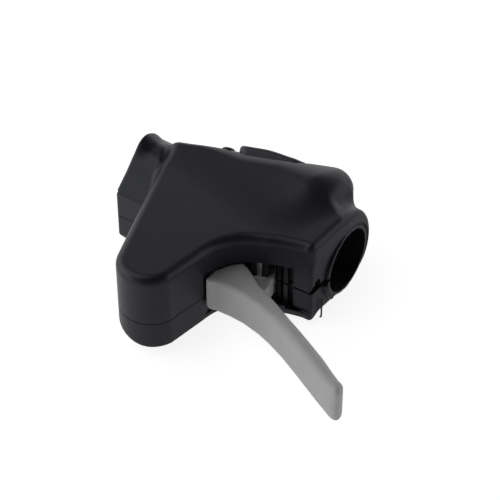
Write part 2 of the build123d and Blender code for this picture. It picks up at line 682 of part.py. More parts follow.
with BuildPart() as tact_switches:
    for spot in ((-POST_REACH, 0), (POST_REACH, 0), MODE_SWITCH):
        with BuildSketch(deck_plane(ROCKER_X, BOARD_DEPTH)):
            with Locations(spot):
                Rectangle(TACT_SIZE, TACT_SIZE)
        extrude(amount=TACT_HEIGHT)
        with BuildSketch(deck_plane(ROCKER_X, BOARD_DEPTH - TACT_HEIGHT)):
            with Locations(spot):
                Circle(PLUNGER_R)
        extrude(amount=BOARD_DEPTH - TACT_DEPTH - TACT_HEIGHT)

with BuildPart() as switch_board:
    with BuildSketch(deck_plane(ROCKER_X, BOARD_DEPTH + BOARD_THICKNESS)):
        with Locations((sum(BOARD_ALONG) / 2, sum(BOARD_DOWN) / 2)):
            Rectangle(BOARD_ALONG[1] - BOARD_ALONG[0], BOARD_DOWN[1] - BOARD_DOWN[0])
        with Locations(*BOARD_SCREWS):
            Circle(BOARD_SCREW_R + 0.2, mode=Mode.SUBTRACT)
    extrude(amount=BOARD_THICKNESS)

with BuildPart() as board_screws:
    for spot in BOARD_SCREWS:
        with BuildSketch(deck_plane(ROCKER_X, BOARD_DEPTH + BOARD_THICKNESS)):
            with Locations(spot):
                Circle(BOARD_SCREW_R)
        extrude(amount=BOARD_THICKNESS + BOARD_SCREW_GRIP)
        with BuildSketch(deck_plane(ROCKER_X, BOARD_DEPTH + BOARD_THICKNESS)):
            with Locations(spot):
                Circle(2 * BOARD_SCREW_R)
        extrude(amount=-1.3)

# ---- screws that join the halves ----
with BuildPart() as shell_screws:
    for x, y in SCREW_SPOTS:
        with BuildSketch(Plane.XY.offset(SCREW_SEAT)):
            with Locations((x, y)):
                Circle(SCREW_R)
        extrude(amount=-SCREW_SEAT + INSERT_LENGTH - 1.0)
        with BuildSketch(Plane.XY.offset(SCREW_SEAT)):
            with Locations((x, y)):
                Circle(SCREW_HEAD_R)
        extrude(amount=-SCREW_HEAD_H)
        with BuildSketch(Plane.XY.offset(SCREW_SEAT - SCREW_HEAD_H)):
            with Locations((x, y)):
                RegularPolygon(SCREW_HEX_R, 6)
        extrude(amount=SCREW_HEX_R, mode=Mode.SUBTRACT)

with BuildPart() as threaded_inserts:
    for x, y in SCREW_SPOTS:
        with BuildSketch(Plane.XY.offset(SPLIT)):
            with Locations((x, y)):
                Circle(INSERT_R)
                Circle(SCREW_R, mode=Mode.SUBTRACT)
        extrude(amount=INSERT_LENGTH)

# ---- harness connector in the inboard wall, and its leads ----
connector_mouth = INBOARD_END + CONNECTOR_INSET
connector_back = INBOARD_END + CONNECTOR_LENGTH
with BuildPart() as harness_connector:
    with BuildSketch(Plane.YZ.offset(connector_mouth)):
        with Locations(CONNECTOR_CENTER):
            RectangleRounded(*CONNECTOR_SIZE, 1.2)
    extrude(amount=connector_back - connector_mouth)
    with BuildSketch(Plane.YZ.offset(connector_mouth)):
        with Locations(CONNECTOR_CENTER):
            RectangleRounded(CONNECTOR_SIZE[0] - 2.4, CONNECTOR_SIZE[1] - 2.4, 0.8)
    extrude(amount=7.5, mode=Mode.SUBTRACT)
    with BuildSketch(Plane.YZ.offset(INBOARD_END + 5)):
        with Locations(CONNECTOR_CENTER):
            with GridLocations(CONTACT_PITCH, CONTACT_PITCH, 2, 2):
                Circle(CONTACT_R)
    extrude(amount=10, mode=Mode.SUBTRACT)

with BuildPart() as connector_pins:
    with BuildSketch(Plane.YZ.offset(INBOARD_END + 2.5)):
        with Locations(CONNECTOR_CENTER):
            with GridLocations(CONTACT_PITCH, CONTACT_PITCH, 2, 2):
                Circle(CONTACT_R)
    extrude(amount=connector_back - INBOARD_END - 2.5)

with BuildPart() as connector_seal:
    with BuildSketch(Plane.YZ.offset(INBOARD_END + 0.5)):
        with Locations(CONNECTOR_CENTER):
            RectangleRounded(CONNECTOR_SIZE[0] + 2 * SEAL_WIDTH, CONNECTOR_SIZE[1] + 2 * SEAL_WIDTH, 1.5)
            RectangleRounded(*CONNECTOR_SIZE, 1.2, mode=Mode.SUBTRACT)
    extrude(amount=WALL - 0.5)


def lead(radius, *route):
    """A round lead swept through the points of its route."""
    with BuildPart() as wire:
        with BuildLine() as path:
            Spline(*route)
        with BuildSketch(Plane(origin=path.line @ 0, z_dir=path.line % 0)):
            Circle(radius)
        sweep()
    return wire.part


with BuildPart() as sensor_lead:
    add(lead(SENSOR_LEAD_R, (sensor_x - 0.8, sensor_mid[1], 1.0), (-59.0, -40.0, 1.0), (-65.5, -27.0, 1.0),
             (-72.0, -16.3, 0.0), (connector_back + 1.0, -17.5, -1.2)))

with BuildPart() as panel_lead:
    add(lead(PANEL_LEAD_R, (-71.4, 0.3, 15.4), (-73.2, -6.0, 15.8), (-76.0, -13.5, 11.5),
             (-78.5, -17.4, 6.5), (connector_back + 1.4, -19.0, 2.6)))

# ---- spring clip in the slit of the lower half ----
with BuildPart() as retaining_clip:
    with BuildSketch(Plane.XY.offset(BAR_FLOOR - 0.1)):
        with Locations(CLIP_SPOT):
            Rectangle(*CLIP_WIRE)
    extrude(amount=CLIP_LENGTH)
    with BuildSketch(Plane.XY.offset(BAR_FLOOR - 0.1)):
        with Locations((CLIP_SPOT[0], CLIP_SPOT[1] - (CLIP_HOOK - CLIP_WIRE[1]) / 2)):
            Rectangle(CLIP_WIRE[0], CLIP_HOOK)
    extrude(amount=-CLIP_WIRE[1])

os.makedirs("parts", exist_ok=True)
pieces = {
    "upper_shell": upper_shell, "lower_shell": lower_shell,
    "lever": lever, "lever_bushings": lever_bushings, "thrust_washers": thrust_washers,
    "pivot_pin": pivot_pin, "return_spring": return_spring, "sensor_magnet": sensor_magnet,
    "lever_bumper": lever_bumper, "sensor_housing": sensor_housing, "sensor_cover": sensor_cover,
    "sensor_screws": sensor_screws, "sensor_board": sensor_board, "hall_sensors": hall_sensors,
    "clamp_saddle": clamp_saddle, "clamp_cap": clamp_cap, "clamp_screws": clamp_screws,
    "switch_bezel": switch_bezel, "rocker_button": rocker_button, "rocker_axle": rocker_axle,
    "mode_button": mode_button, "keypad_membrane": keypad_membrane, "tact_switches": tact_switches,
    "switch_board": switch_board, "board_screws": board_screws, "shell_screws": shell_screws,
    "threaded_inserts": threaded_inserts, "harness_connector": harness_connector,
    "connector_pins": connector_pins, "connector_seal": connector_seal,
    "sensor_lead": sensor_lead, "panel_lead": panel_lead, "retaining_clip": retaining_clip,
}
for name, piece in pieces.items():
    piece.part.label = name
    export_step(piece.part, f"parts/{name}.step")
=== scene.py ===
import json
import math

import bpy
import numpy as np
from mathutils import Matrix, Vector


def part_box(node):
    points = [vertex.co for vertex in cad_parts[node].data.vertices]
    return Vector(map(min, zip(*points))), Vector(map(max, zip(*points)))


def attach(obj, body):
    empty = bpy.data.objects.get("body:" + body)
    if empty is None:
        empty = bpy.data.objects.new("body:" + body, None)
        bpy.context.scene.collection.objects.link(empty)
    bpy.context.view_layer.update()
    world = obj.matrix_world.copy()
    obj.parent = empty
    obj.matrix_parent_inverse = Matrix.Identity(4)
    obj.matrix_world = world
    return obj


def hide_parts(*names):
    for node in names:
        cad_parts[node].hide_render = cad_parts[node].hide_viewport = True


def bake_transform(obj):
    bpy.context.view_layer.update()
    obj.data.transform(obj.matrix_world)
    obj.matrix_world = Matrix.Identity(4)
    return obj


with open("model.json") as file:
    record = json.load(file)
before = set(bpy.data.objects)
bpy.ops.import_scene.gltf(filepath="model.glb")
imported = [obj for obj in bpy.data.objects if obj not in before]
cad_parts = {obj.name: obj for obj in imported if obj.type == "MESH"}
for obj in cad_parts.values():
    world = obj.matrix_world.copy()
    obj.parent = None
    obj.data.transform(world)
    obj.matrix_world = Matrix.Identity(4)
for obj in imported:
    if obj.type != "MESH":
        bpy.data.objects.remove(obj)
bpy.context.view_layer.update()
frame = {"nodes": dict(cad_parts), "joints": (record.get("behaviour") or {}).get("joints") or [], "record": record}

# Every shape below is worked out in millimetres in the CAD frame and turned into metres at the end.
MM = 0.001
mounts = {m["name"]: m for m in frame["record"]["mounts"]}
joints = {j["name"]: j for j in frame["joints"]}


def box_mm(node):
    """The CAD node's low and high corner."""
    low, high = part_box(node)
    return np.array(low) / MM, np.array(high) / MM


shell_low = box_mm("upper_shell")[0]
rocker_low, rocker_high = box_mm("rocker_button")
mode_low, mode_high = box_mm("mode_button")
PIVOT = np.array(joints["lever_pull"]["pos_m"][:2]) / MM
BAR_R = mounts["handlebar_clamp"]["dims"]["r_mm"]
BAR_GAP = 0.5            # the housing's bore is this much wider than the bar
COLLAR_R = mounts["grip_collar"]["dims"]["r_mm"]
COLLAR_DEPTH = mounts["grip_collar"]["dims"]["length_mm"]


# ---------------------------------------------------------------- distance fields
def round_cut(a, b, r):
    """Overlap of two fields with a convex edge of radius r."""
    r = np.maximum(r, 1e-6)
    return np.minimum(-r, np.maximum(a, b)) + np.hypot(np.maximum(a + r, 0), np.maximum(b + r, 0))


def soft_join(a, b, k):
    """Union of two fields with a concave fillet about k wide."""
    k = np.maximum(k, 1e-6)
    h = np.clip(0.5 + 0.5 * (b - a) / k, 0, 1)
    return b + (a - b) * h - k * h * (1 - h)


def soft_cut(a, b, k):
    """Overlap of two fields with a soft edge about k wide."""
    return -soft_join(-a, -b, k)


def melt(a, b, k):
    """Union of two fields that flow into each other without an end to the fillet."""
    return -k * np.logaddexp(-a / k, -b / k)


def ramp(x, low, high):
    """0 below low, 1 above high and smooth between them."""
    t = np.clip((x - low) / (high - low), 0, 1)
    return t * t * (3 - 2 * t)


def arc(center, radius, start, end, count=16):
    """Points on an arc, angles in degrees."""
    angles = np.radians(np.linspace(start, end, count))
    return [(center[0] + radius * math.cos(a), center[1] + radius * math.sin(a)) for a in angles]


def bend(a, b, c, count=14):
    """Points on the parabola from a to c that is drawn towards b."""
    a, b, c = np.array(a), np.array(b), np.array(c)
    return [tuple((1 - t) ** 2 * a + 2 * t * (1 - t) * b + t * t * c) for t in np.linspace(0, 1, count)]


class Outline:
    """Signed distance to a closed outline in a plane, kept on a fine grid."""

    def __init__(self, points, margin=8.0, step=0.25):
        p = np.array(points, float)
        q = np.roll(p, -1, axis=0)
        self.step = step
        self.low = p.min(0) - margin
        count = np.ceil((p.max(0) + margin - self.low) / step).astype(int) + 2
        u = self.low[0] + step * np.arange(count[0])
        v = self.low[1] + step * np.arange(count[1])
        U, V = np.meshgrid(u, v, indexing="ij")
        best = np.full(U.shape, 1e9)
        inside = np.zeros(U.shape, bool)
        for (ax, ay), (bx, by) in zip(p, q):
            dx, dy = bx - ax, by - ay
            t = np.clip(((U - ax) * dx + (V - ay) * dy) / max(dx * dx + dy * dy, 1e-12), 0, 1)
            best = np.minimum(best, (U - ax - t * dx) ** 2 + (V - ay - t * dy) ** 2)
            if ay != by:
                crossing = (ay > V) != (by > V)
                inside ^= crossing & (U < (bx - ax) * (V - ay) / (by - ay) + ax)
        self.table = np.sqrt(best) * np.where(inside, -1, 1)

    def __call__(self, u, v):
        """The distance at u, v, read off the grid bilinearly."""
        s = (u - self.low[0]) / self.step
        t = (v - self.low[1]) / self.step
        rows, columns = self.table.shape
        s = np.clip(s, 0, rows - 1.001)
        t = np.clip(t, 0, columns - 1.001)
        i, j = s.astype(int), t.astype(int)
        s, t = s - i, t - j
        T = self.table
        return (T[i, j] * (1 - s) * (1 - t) + T[i + 1, j] * s * (1 - t)
                + T[i, j + 1] * (1 - s) * t + T[i + 1, j + 1] * s * t)


def rounded_box(x, y, z, low, high, r=0.0):
    """A box from corner to corner with edges of radius r."""
    middle = (np.array(low) + np.array(high)) / 2
    half = (np.array(high) - np.array(low)) / 2 - r
    dx, dy, dz = (abs(p - m) - h for p, m, h in zip((x, y, z), middle, half))
    outer = np.sqrt(np.maximum(dx, 0) ** 2 + np.maximum(dy, 0) ** 2 + np.maximum(dz, 0) ** 2)
    return outer + np.minimum(np.maximum(dx, np.maximum(dy, dz)), 0) - r


def column(x, y, z, center, radius, low, high):
    """An upright cylinder."""
    return np.maximum(np.hypot(x - center[0], y - center[1]) - radius, np.maximum(low - z, z - high))


# ---------------------------------------------------------------- mesh from a field
LAYERS = 16              # grid layers worked out at once
REFINEMENTS = 3          # steps of false position along a crossed grid edge
INSET = 0.02             # share of an edge or a cell that stays free at each end
PROBE = 0.01             # half of the distance over which a normal is measured
PULL = 0.03              # how strongly a vertex is held to the middle of its crossings
TINY = 1e-12


def sample(field, axes):
    """The field at every grid point."""
    values = np.empty([len(a) for a in axes], np.float32)
    for start in range(0, len(axes[0]), LAYERS):
        grid = np.meshgrid(axes[0][start:start + LAYERS], axes[1], axes[2], indexing="ij")
        values[start:start + LAYERS] = field(*grid)
    return values


def crossed_edges(inside, axis):
    """Grid edges along the axis that cross the surface, apart from those on the grid's own sides."""
    first, second = [slice(None)] * 3, [slice(None)] * 3
    first[axis], second[axis] = slice(None, -1), slice(1, None)
    index = np.argwhere(inside[tuple(first)] != inside[tuple(second)])
    cells = np.array(inside.shape) - 1
    keep = np.all([(index[:, a] > 0) & (index[:, a] < cells[a]) for a in range(3) if a != axis], axis=0)
    return index[keep]


def crossing_points(field, base, axis, step, near, far):
    """Where the field is 0 on the grid edges that begin at base."""
    a, b = np.zeros(len(base)), np.ones(len(base))
    for _ in range(REFINEMENTS):
        t = a + (b - a) * near / (near - far)
        t = np.clip(t, a + INSET * (b - a), b - INSET * (b - a))
        p = base.copy()
        p[:, axis] += step * t
        value = field(*p.T)
        same = (value < 0) == (near < 0)
        a, near = np.where(same, t, a), np.where(same, value, near)
        b, far = np.where(same, b, t), np.where(same, far, value)
    p = base.copy()
    p[:, axis] += step * (a + (b - a) * near / (near - far))
    return p


def normals(field, p):
    """The field's steepest direction at each point."""
    normal = np.empty_like(p)
    for a in range(3):
        up, down = p.copy(), p.copy()
        up[:, a] += PROBE
        down[:, a] -= PROBE
        normal[:, a] = field(*up.T) - field(*down.T)
    return normal / np.maximum(np.linalg.norm(normal, axis=1, keepdims=True), TINY)


def cells_round(index, axis, shape):
    """The four cells round each grid edge, as flat cell numbers."""
    across = [a for a in range(3) if a != axis]
    corners = []
    for shifts in ((0, 0), (-1, 0), (-1, -1), (0, -1)):
        cell = index.copy()
        cell[:, across] += shifts
        corners.append(np.ravel_multi_index(tuple(cell.T), shape))
    return np.stack(corners, 1)


def settle(points, ways, where, total):
    """One vertex per cell: the point that best fits the planes through the crossings on its edges."""
    def gather(weights):
        return np.bincount(where, weights=weights, minlength=total)

    number = gather(np.ones(len(where)))
    middle = np.stack([gather(points[:, a]) / number for a in range(3)], 1)
    reach = ((points - middle[where]) * ways).sum(1)
    matrix = np.empty((total, 3, 3))
    for a in range(3):
        for b in range(3):
            matrix[:, a, b] = gather(ways[:, a] * ways[:, b])
        matrix[:, a, a] += PULL
    pull = np.stack([gather(ways[:, a] * reach) for a in range(3)], 1)
    return middle + np.linalg.solve(matrix, pull[:, :, None])[:, :, 0]


def contour(field, low, high, step):
    """Dual contouring: the surface where the field is 0, sharp edges kept, as vertices and quads."""
    low = np.array(low, float)
    count = np.ceil((np.array(high) - low) / step).astype(int) + 1
    values = sample(field, [low[a] + step * np.arange(count[a]) for a in range(3)])
    shape = tuple(count - 1)
    cell_ids, points, ways, quads = [], [], [], []
    for axis in range(3):
        index = crossed_edges(values < 0, axis)
        if not len(index):
            continue
        ahead = index + np.eye(3, dtype=int)[axis]
        near, far = (values[tuple(end.T)].astype(float) for end in (index, ahead))
        p = crossing_points(field, low + step * index, axis, step, near, far)
        quad = cells_round(index, axis, shape)
        cell_ids.append(quad.T.ravel())
        points.append(np.tile(p, (4, 1)))
        ways.append(np.tile(normals(field, p), (4, 1)))
        flip = (near < 0) == (axis == 1)
        quads.append(np.where(flip[:, None], quad[:, ::-1], quad))
    active, where = np.unique(np.concatenate(cell_ids), return_inverse=True)
    vertices = settle(np.concatenate(points), np.concatenate(ways), where, len(active))
    corner = low + step * np.stack(np.unravel_index(active, shape), 1)
    vertices = np.clip(vertices, corner + INSET * step, corner + (1 - INSET) * step)
    return vertices, np.searchsorted(active, np.concatenate(quads))


def mesh_piece(name, vertices, faces, sharp=38.0):
    """A mesh object from millimetre vertices, smooth apart from edges sharper than the angle."""
    mesh = bpy.data.meshes.new(name)
    mesh.from_pydata((np.asarray(vertices) * MM).tolist(), [], [list(map(int, face)) for face in faces])
    mesh.validate()
    mesh.shade_smooth()
    mesh.set_sharp_from_angle(angle=math.radians(sharp))
    piece = bpy.data.objects.new(name, mesh)
    bpy.context.scene.collection.objects.link(piece)
    return piece


# ---------------------------------------------------------------- the housing's form
FLAT_TOP = 24.5          # roof over the nose and along the end face
NOSE = np.array((-53.7, -62.0))
NOSE_R = 13.5
NOSE_FLOOR = -13.3
BAR_FLOOR = -16.3
NECK_FRONT = -24.7
NECK_ROOT = -30
BLOCK_REACH = 7.0        # how far the block goes into the housing past its inboard wall
WALL = 2.5
SPLIT_GAP = 0.17         # half of the gap between the halves
RIM_R = 0.2              # rounding of the openings' rims
INBOARD_END = shell_low[0] - 0.5
CAVITY_END = -10.5       # the housing is hollow inboard of this X
WELL_WALL_R = 8.8        # left solid round the spring's well in the lower half
UPPER_SOLID_R = 58.8     # the upper half is solid out to here from the pivot, round the pieces in it

# the raised ring round the grip's socket, the groove along it and the bead on its lower front
RING_R, RING_TOP, RING_DEPTH = 15.4, 0.2, 6.0
GROOVE_R, GROOVE_PATH_R = 0.5, 15.9
BEAD_R, BEAD_PATH_R, BEAD_BACK = 1.7, 15.8, 0.9

CLAMP_FACE = -25.0       # front wall beside the lever
POCKET_ROOF = 11.0
POCKET_FLOOR = -10.6
POCKET_WALL = 3.2
WELL_FLOOR = -14.0
WELL_R = 6.3
WELL_TOP = -9.0
LOWER_BOSS_R, LOWER_BOSS_SPAN = 3.9, (-15.0, -7.4)
UPPER_BOSS_R, UPPER_BOSS_SPAN = 4.4, (3.4, 13.0)
PIN_HOLE_R = 3.02
PIN_HOLE_FOOT = -13.05

# the crease across the roof, behind which the roof climbs
CREASE = np.array((-72.3, -6.2))
CREASE_WAY = np.array((66.5, -18.3)) / np.hypot(66.5, 18.3)
RISE = math.tan(math.radians(12.8))

# the rear deck, which falls from the ridge and carries the buttons
RIDGE = np.array((-84.0, 0.0, 25.0))
RIDGE_RUN = np.array((62.5, 12.7, 6.6))
RIDGE_WAY = RIDGE_RUN / np.linalg.norm(RIDGE_RUN)
DECK_SLOPE = math.radians(50)
DECK_NORMAL = np.cross(RIDGE_WAY, (0, math.cos(DECK_SLOPE), -math.sin(DECK_SLOPE)))
DECK_NORMAL = DECK_NORMAL / np.linalg.norm(DECK_NORMAL)
DECK_DOWN = np.cross(DECK_NORMAL, RIDGE_WAY)
ROCKER_X = -44.0
ROCKER_DROP = 8.5
ROCKER_SPOT = RIDGE + RIDGE_RUN * (ROCKER_X - RIDGE[0]) / RIDGE_RUN[0] + DECK_DOWN * ROCKER_DROP
ROCKER_SLOT = (16.25, 6.15)          # half of the length, and the ends' radius
MODE_SPOT = (-19.0, -3.0)
MODE_HOLE_R = 3.35
MODE_FLANGE_ROOM = (3.9, -2.3)       # radius and top, below the deck
DECK_CUT_FOOT = -4.6
BOARD_SCREWS = ((-25.2, -1.6), (18.3, -1.6))
BOARD_POST = (0.9, 1.9)              # bore and outside radius
BOARD_POST_SPAN = (-7.6, -2.0)       # foot and top, below the deck

FRONT_SCREWS = ((-53.5, -62.0), (-74.5, -22.5), (-8.5, -19.6))
REAR_SCREWS = ((-74.0, 14.2), (-24.5, 22.0))
SHELL_SCREWS = FRONT_SCREWS + REAR_SCREWS
UPPER_POST_R, REAR_POST_TOP = 3.9, 8.0
LOWER_POST_R = 4.0
INSERT_HOLE = (2.32, 6.2)            # radius and top
SCREW_HOLE_R = 1.65
SCREW_HEAD_HOLE = (3.0, -8.0)        # radius and top
CLAMP_SCREWS = ((-34.0, -14.9), (-34.0, 14.9), (-16.3, -14.9), (-16.3, 14.9))
CLAMP_HEAD_HOLE = (3.7, -8.6)

# the wedge-shaped recess over the bottom ledge beside the lever
WEDGE_SIDES = (-11.0, -4.0)
WEDGE_FOOT, WEDGE_TOP, WEDGE_FALL = -12.0, -10.4, 0.18
WEDGE_DEPTH, WEDGE_RUN = 1.9, 6.5

# boxes, each as its low and high corner
SLOT_SIDES = ((-19.4, -17.9), (-16.4, -15.0), (-13.1, -10.4))
SLOTS = [((low, -27.0, -12.0), (high, -22.8, 11.0)) for low, high in SLOT_SIDES]
CONNECTOR_WINDOW = ((-97.0, -25.3, -4.8), (-91.8, -13.7, 5.8))
LEAD_PASSAGE = ((-37.95, -47.0, -4.0), (-36.0, -42.0, 6.0))
CLIP_SLIT = ((-1.6, -18.95, -20.0), (2.0, -18.25, -6.3))
NOTCH = ((-5.6, -22.6, -1.2), (3.0, -19.0, 5.0))
NOTCH_FOOT = ((-5.6, -24.3, -1.2), (3.0, -20.6, 3.0))
NOTCH_GAP = ((-3.0, -26.0, -1.0), (2.0, -12.0, 1.3))

body_plan = Outline(
    [(6.0, -24.9), (6.0, -4.0), (-6.8, 5.0), (-6.8, 14.9)]
    + bend((-8.0, 17.0), (-12.6, 26.6), (-20.0, 27.4)) + [(-21.0, 27.5), (-87.3, 16.0), (-86.8, 2.6)]
    + arc(NOSE, NOSE_R, 196.8, 338.0, 40)
    + [(-37.5, -49.8)] + bend((-37.3, -48.5), (-34.6, -34.6), (-22.0, -30.0))
    + bend((-20.0, -29.3), (-13.5, -26.2), (-6.0, -25.0))
)
neck_section = Outline(
    [(-45.0, -BAR_R), (-45.0, 24.0), (-6.0, 24.0)]
    + bend((-4.0, 24.0), (11.5, 23.5), (17.1, 9.8), 24)
    + bend((17.5, 8.6), (18.9, 4.4), (18.7, 0.3), 8)
    + bend((18.6, -0.8), (17.8, -8.2), (12.4, -12.2), 12)
    + bend((11.5, -12.4), (7.0, -16.3), (0.0, -16.3), 12) + [(-45.0, -16.2)]
)
block_section = Outline(
    [(-28.4, -10.7), (-28.4, 12.9), (-20.5, 18.9), (-14.6, 24.2)]
    + bend((-13.6, 25.2), (-10.4, 28.9), (-6.0, 28.4))
    + bend((-5.0, 28.2), (0.5, 26.0), (3.2, 20.5))
    + [(9.4, 13.0), (14.2, 5.0), (15.6, 0.0), (16.0, -6.0), (6.0, BAR_FLOOR), (-24.4, BAR_FLOOR)]
)
deep_plan = Outline([(-86, -27.4), (-38, -27.4), (-31, -36), (0, -36), (0, 40), (-86, 40)])
pocket_plan = Outline(
    [(-37.4, -80), (-37.4, -42), (-33.6, -33), (-31.5, -27.5)]
    + arc(PIVOT, 7.0, 170, 0, 18)
    + [(-17.6, -27.5), (-18.4, CLAMP_FACE), (4.0, CLAMP_FACE), (4.0, -80)]
)


def behind_crease(x, y):
    """How far behind the crease the point is, as seen from above."""
    return (x - CREASE[0]) * -CREASE_WAY[1] + (y - CREASE[1]) * CREASE_WAY[0]


def roof_height(x, y):
    """The roof: flat, then climbing softly behind the diagonal crease, and falling again to the neck."""
    climb = soft_cut(RISE * behind_crease(x, y), np.zeros_like(x), 2.4)
    shoulder = 2.0 * ramp(x, -38, -14) * ramp(y, -10, 12)
    fall_start = -24.0 + 0.35 * y
    return FLAT_TOP + (climb + shoulder) * (1 - ramp(x, fall_start, fall_start + 20))


def on_deck(x, y, z):
    """Coordinates on the rear deck from the rocker's centre: along the ridge, downhill and out of it."""
    x, y, z = x - ROCKER_SPOT[0], y - ROCKER_SPOT[1], z - ROCKER_SPOT[2]
    return tuple(x * way[0] + y * way[1] + z * way[2] for way in (RIDGE_WAY, DECK_DOWN, DECK_NORMAL))


def long_slot(s, t, half, r):
    """A slot with round ends on the deck."""
    return np.hypot(np.maximum(abs(s) - half + r, 0), t) - r


def wall_x(y):
    """The inboard wall's X over that Y."""
    return -86.8 + (2.6 - y) * 0.302


def body_form(x, y, z):
    """The housing without its block, neck and openings."""
    # the ridge between roof and deck is crisp inboard, and the deck swells and the ridge fades outboard
    roof = (z - roof_height(x, y)) * 0.98
    deck = on_deck(x, y, z)[2] - 0.7 * ramp(x, -82, -62) - 1.9 * ramp(x, -38, -16)
    ridge_r = 1.2 + 4.0 * ramp(x, -74, -52) + 11.0 * ramp(x, -38, -12)
    top = round_cut(roof, deck, ridge_r)
    # the edge round the roof is wider at the rear outboard corner and narrower along the front
    edge = 4.6 + 2.2 * ramp(y, -6, 8) * ramp(x, -28, -10) - 0.9 * ramp(-y, 6, 16)
    form = round_cut(body_plan(x, y), top, edge)
    # a shallow floor under the nose, a deep one under the bar, and a chamfer along the rear's foot
    floor_edge = 3.0 + 2.6 * ramp(-x, 52, 66) - 2.0 * ramp(x, -58, -46)
    shallow = round_cut(form, NOSE_FLOOR - z, floor_edge)
    deep = round_cut(np.maximum(form, deep_plan(x, y)), BAR_FLOOR - z, 1.8)
    belly = ((y - 27.5) - 0.17 * (x + 21)) * 0.7 - (z + 9) * 0.7
    return round_cut(soft_join(shallow, deep, 2.0 * ramp(-z, 4, 9)), belly, 3.0)


def block_form(x, y, z):
    """The block at the inboard end, whose hump sinks into the housing's wall and at its own end."""
    past_wall = x - wall_x(y)
    sink = 3.0 * ramp(x, -96, -88) * ramp(y, -18, -9) + 6.5 * ramp(past_wall, -1.5, 6.0)
    groove = 0.35 - np.hypot(z - 12.9, y + 28.4) * 0.6
    section = np.maximum(block_section(y, z + sink * ramp(z, 12, 20)), groove)
    return round_cut(np.maximum(section, past_wall - BLOCK_REACH), INBOARD_END - x, 1.3)


def neck_form(x, y, z):
    """The outboard neck."""
    front_edge = 3.8 - 1.8 * ramp(-z, 0, 8)
    front = round_cut(neck_section(y, z), NECK_FRONT - y, front_edge)
    return np.maximum(front, NECK_ROOT - x)


def end_face(x, y, z, form):
    """The form cut off at the outboard end, with the ring, its groove and the bead."""
    # the edge is wider towards the lower front, and crisp down the front corner
    edge = 2.2 + 0.8 * ramp(-y, -8, 8) + 1.0 * ramp(-y, 2, 20) * ramp(-z, 0, 8)
    edge = edge * (1 - 0.55 * ramp(-y, 18, 24) * ramp(17 - z, 0, 7))
    end_plane = x - RING_TOP + 0.09 * np.maximum(0, -y)
    from_bar = np.hypot(y, z)
    groove = GROOVE_R - np.hypot(from_bar - GROOVE_PATH_R, x)
    ring = round_cut(from_bar - RING_R, x - RING_TOP, 0.6)
    ring = round_cut(ring, -RING_DEPTH - x, 0.2)
    bead = np.hypot(from_bar - BEAD_PATH_R, x + BEAD_BACK) - BEAD_R
    bead = round_cut(bead, np.maximum(z + 0.9, y + 11.0), 0.8)
    face = soft_cut(round_cut(form, end_plane, edge), groove, 0.4)
    return soft_join(np.minimum(face, ring), bead, 0.4)


def outer_form(x, y, z):
    """The housing's outside without its openings."""
    body = soft_join(body_form(x, y, z), block_form(x, y, z), 2.4)
    valley = 0.1 + 1.3 * ramp(y, -8, 8) * ramp(x, -26, -10)
    return end_face(x, y, z, melt(body, neck_form(x, y, z), valley))


def deck_openings(x, y, z):
    """The rocker's slot and the round button's hole, which is wider below the deck for its flange."""
    s, t, out = on_deck(x, y, z)
    from_mode = np.hypot(s - MODE_SPOT[0], t - MODE_SPOT[1])
    flange_room = np.maximum(from_mode - MODE_FLANGE_ROOM[0], out - MODE_FLANGE_ROOM[1])
    mode_hole = np.minimum(from_mode - MODE_HOLE_R, flange_room)
    return np.maximum(np.minimum(long_slot(s, t, *ROCKER_SLOT), mode_hole), DECK_CUT_FOOT - out)


def openings(x, y, z):
    """Everything cut out of both halves."""
    from_bar = np.hypot(y, z)
    pocket = np.maximum(pocket_plan(x, y), np.maximum(POCKET_FLOOR - z, z - POCKET_ROOF))
    socket = np.maximum(from_bar - COLLAR_R, -COLLAR_DEPTH - x)
    boxes = [rounded_box(x, y, z, *slot, 0.1) for slot in SLOTS]
    boxes.append(rounded_box(x, y, z, *CONNECTOR_WINDOW, 0.6))
    boxes.append(rounded_box(x, y, z, *LEAD_PASSAGE, 0.05))
    return np.minimum.reduce([pocket, socket, from_bar - BAR_R - BAR_GAP, deck_openings(x, y, z)] + boxes)


def housing(x, y, z):
    """The hollow housing with its openings, and its outside."""
    outer = outer_form(x, y, z)
    from_pivot = np.hypot(x - PIVOT[0], y - PIVOT[1])
    solid_r = np.where(z > 0, UPPER_SOLID_R, WELL_WALL_R)
    cavity = np.maximum(outer + WALL, x - CAVITY_END)
    cavity = np.maximum(cavity, np.maximum(POCKET_WALL - pocket_plan(x, y), solid_r - from_pivot))
    shell = np.maximum(outer, -cavity)
    return round_cut(shell, -openings(x, y, z), RIM_R), outer


def columns(x, y, spots, radius):
    """Upright cylinders without an end."""
    return np.minimum.reduce([np.hypot(x - a, y - b) - radius for a, b in spots])


